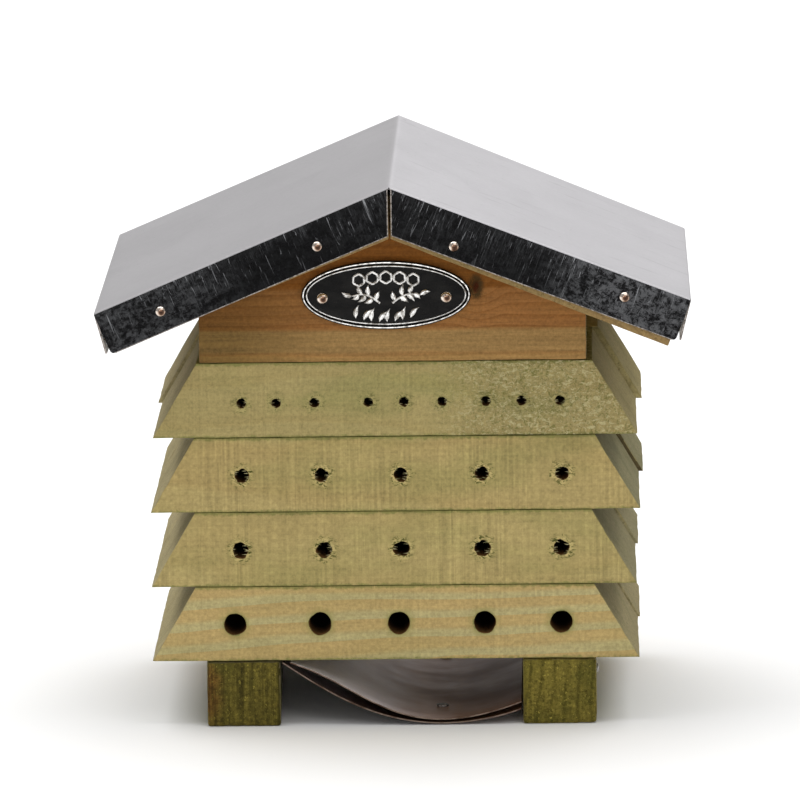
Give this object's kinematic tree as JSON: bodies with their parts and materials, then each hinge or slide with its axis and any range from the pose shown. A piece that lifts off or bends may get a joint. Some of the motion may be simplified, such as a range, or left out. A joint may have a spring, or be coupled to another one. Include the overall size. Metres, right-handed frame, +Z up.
{
  "type": "insect hotel",
  "caption": "Freestanding insect hotel: stacked bevelled timber layers drilled with nesting holes, a gable, a folded sheet-metal roof and runner feet.",
  "frame": {"origin": "on the ground, under the middle of the overall box", "axes": "+Z up, front with the nesting holes towards -Y, +X to the right seen from the front"},
  "size_m": [0.19, 0.1682, 0.1787],
  "materials": {
    "layer_wood": "rough-sawn pressure-treated pine, greenish tan",
    "gable_wood": "rough-sawn pine, orange tan",
    "roof_board_wood": "planed pine",
    "runner_wood": "treated end grain, olive brown",
    "roof_sheet_metal": "thin galvanised sheet, satin top and mirror-like flaps with fine scratches",
    "belly_sheet_metal": "thin bright sheet, satin",
    "badge_metal": "polished raised rim and relief on a dark recessed field",
    "copper_pin": "bright coppered dome heads",
    "steel_fastener": "plain steel"
  },
  "bodies": {
    "root": {"runner_left": "runner_wood", "runner_right": "runner_wood", "layer_1_front_board": "layer_wood", "layer_1_rear_board": "layer_wood", "layer_2_front_board": "layer_wood", "layer_2_rear_board": "layer_wood", "layer_3_front_board": "layer_wood", "layer_3_rear_board": "layer_wood", "layer_4_front_board": "layer_wood", "layer_4_rear_board": "layer_wood", "gable_front": "gable_wood", "gable_rear": "gable_wood", "attic_rail_left": "layer_wood", "attic_rail_right": "layer_wood", "roof_board_left": "roof_board_wood", "roof_board_right": "roof_board_wood", "roof_sheet": "roof_sheet_metal", "flap_pin_front_1": "copper_pin", "flap_pin_front_2": "copper_pin", "flap_pin_front_3": "copper_pin", "flap_pin_front_4": "copper_pin", "flap_pin_rear_1": "copper_pin", "flap_pin_rear_2": "copper_pin", "flap_pin_rear_3": "copper_pin", "flap_pin_rear_4": "copper_pin", "badge": "badge_metal", "badge_pin_left": "copper_pin", "badge_pin_right": "copper_pin", "belly_sheet_outer": "belly_sheet_metal", "belly_sheet_inner": "belly_sheet_metal", "belly_rivet_front": "steel_fastener", "belly_rivet_rear": "steel_fastener", "runner_screw_left_front": "steel_fastener", "layer_nail_left_front": "steel_fastener", "gable_screw_left_front": "steel_fastener", "roof_nail_left_front": "steel_fastener", "runner_screw_left_rear": "steel_fastener", "layer_nail_left_rear": "steel_fastener", "gable_screw_left_rear": "steel_fastener", "roof_nail_left_rear": "steel_fastener", "attic_rail_screw_left": "steel_fastener", "runner_screw_right_front": "steel_fastener", "layer_nail_right_front": "steel_fastener", "gable_screw_right_front": "steel_fastener", "roof_nail_right_front": "steel_fastener", "runner_screw_right_rear": "steel_fastener", "layer_nail_right_rear": "steel_fastener", "gable_screw_right_rear": "steel_fastener", "roof_nail_right_rear": "steel_fastener", "attic_rail_screw_right": "steel_fastener", "runner_side_pin": "steel_fastener"}
  },
  "joints": []
}
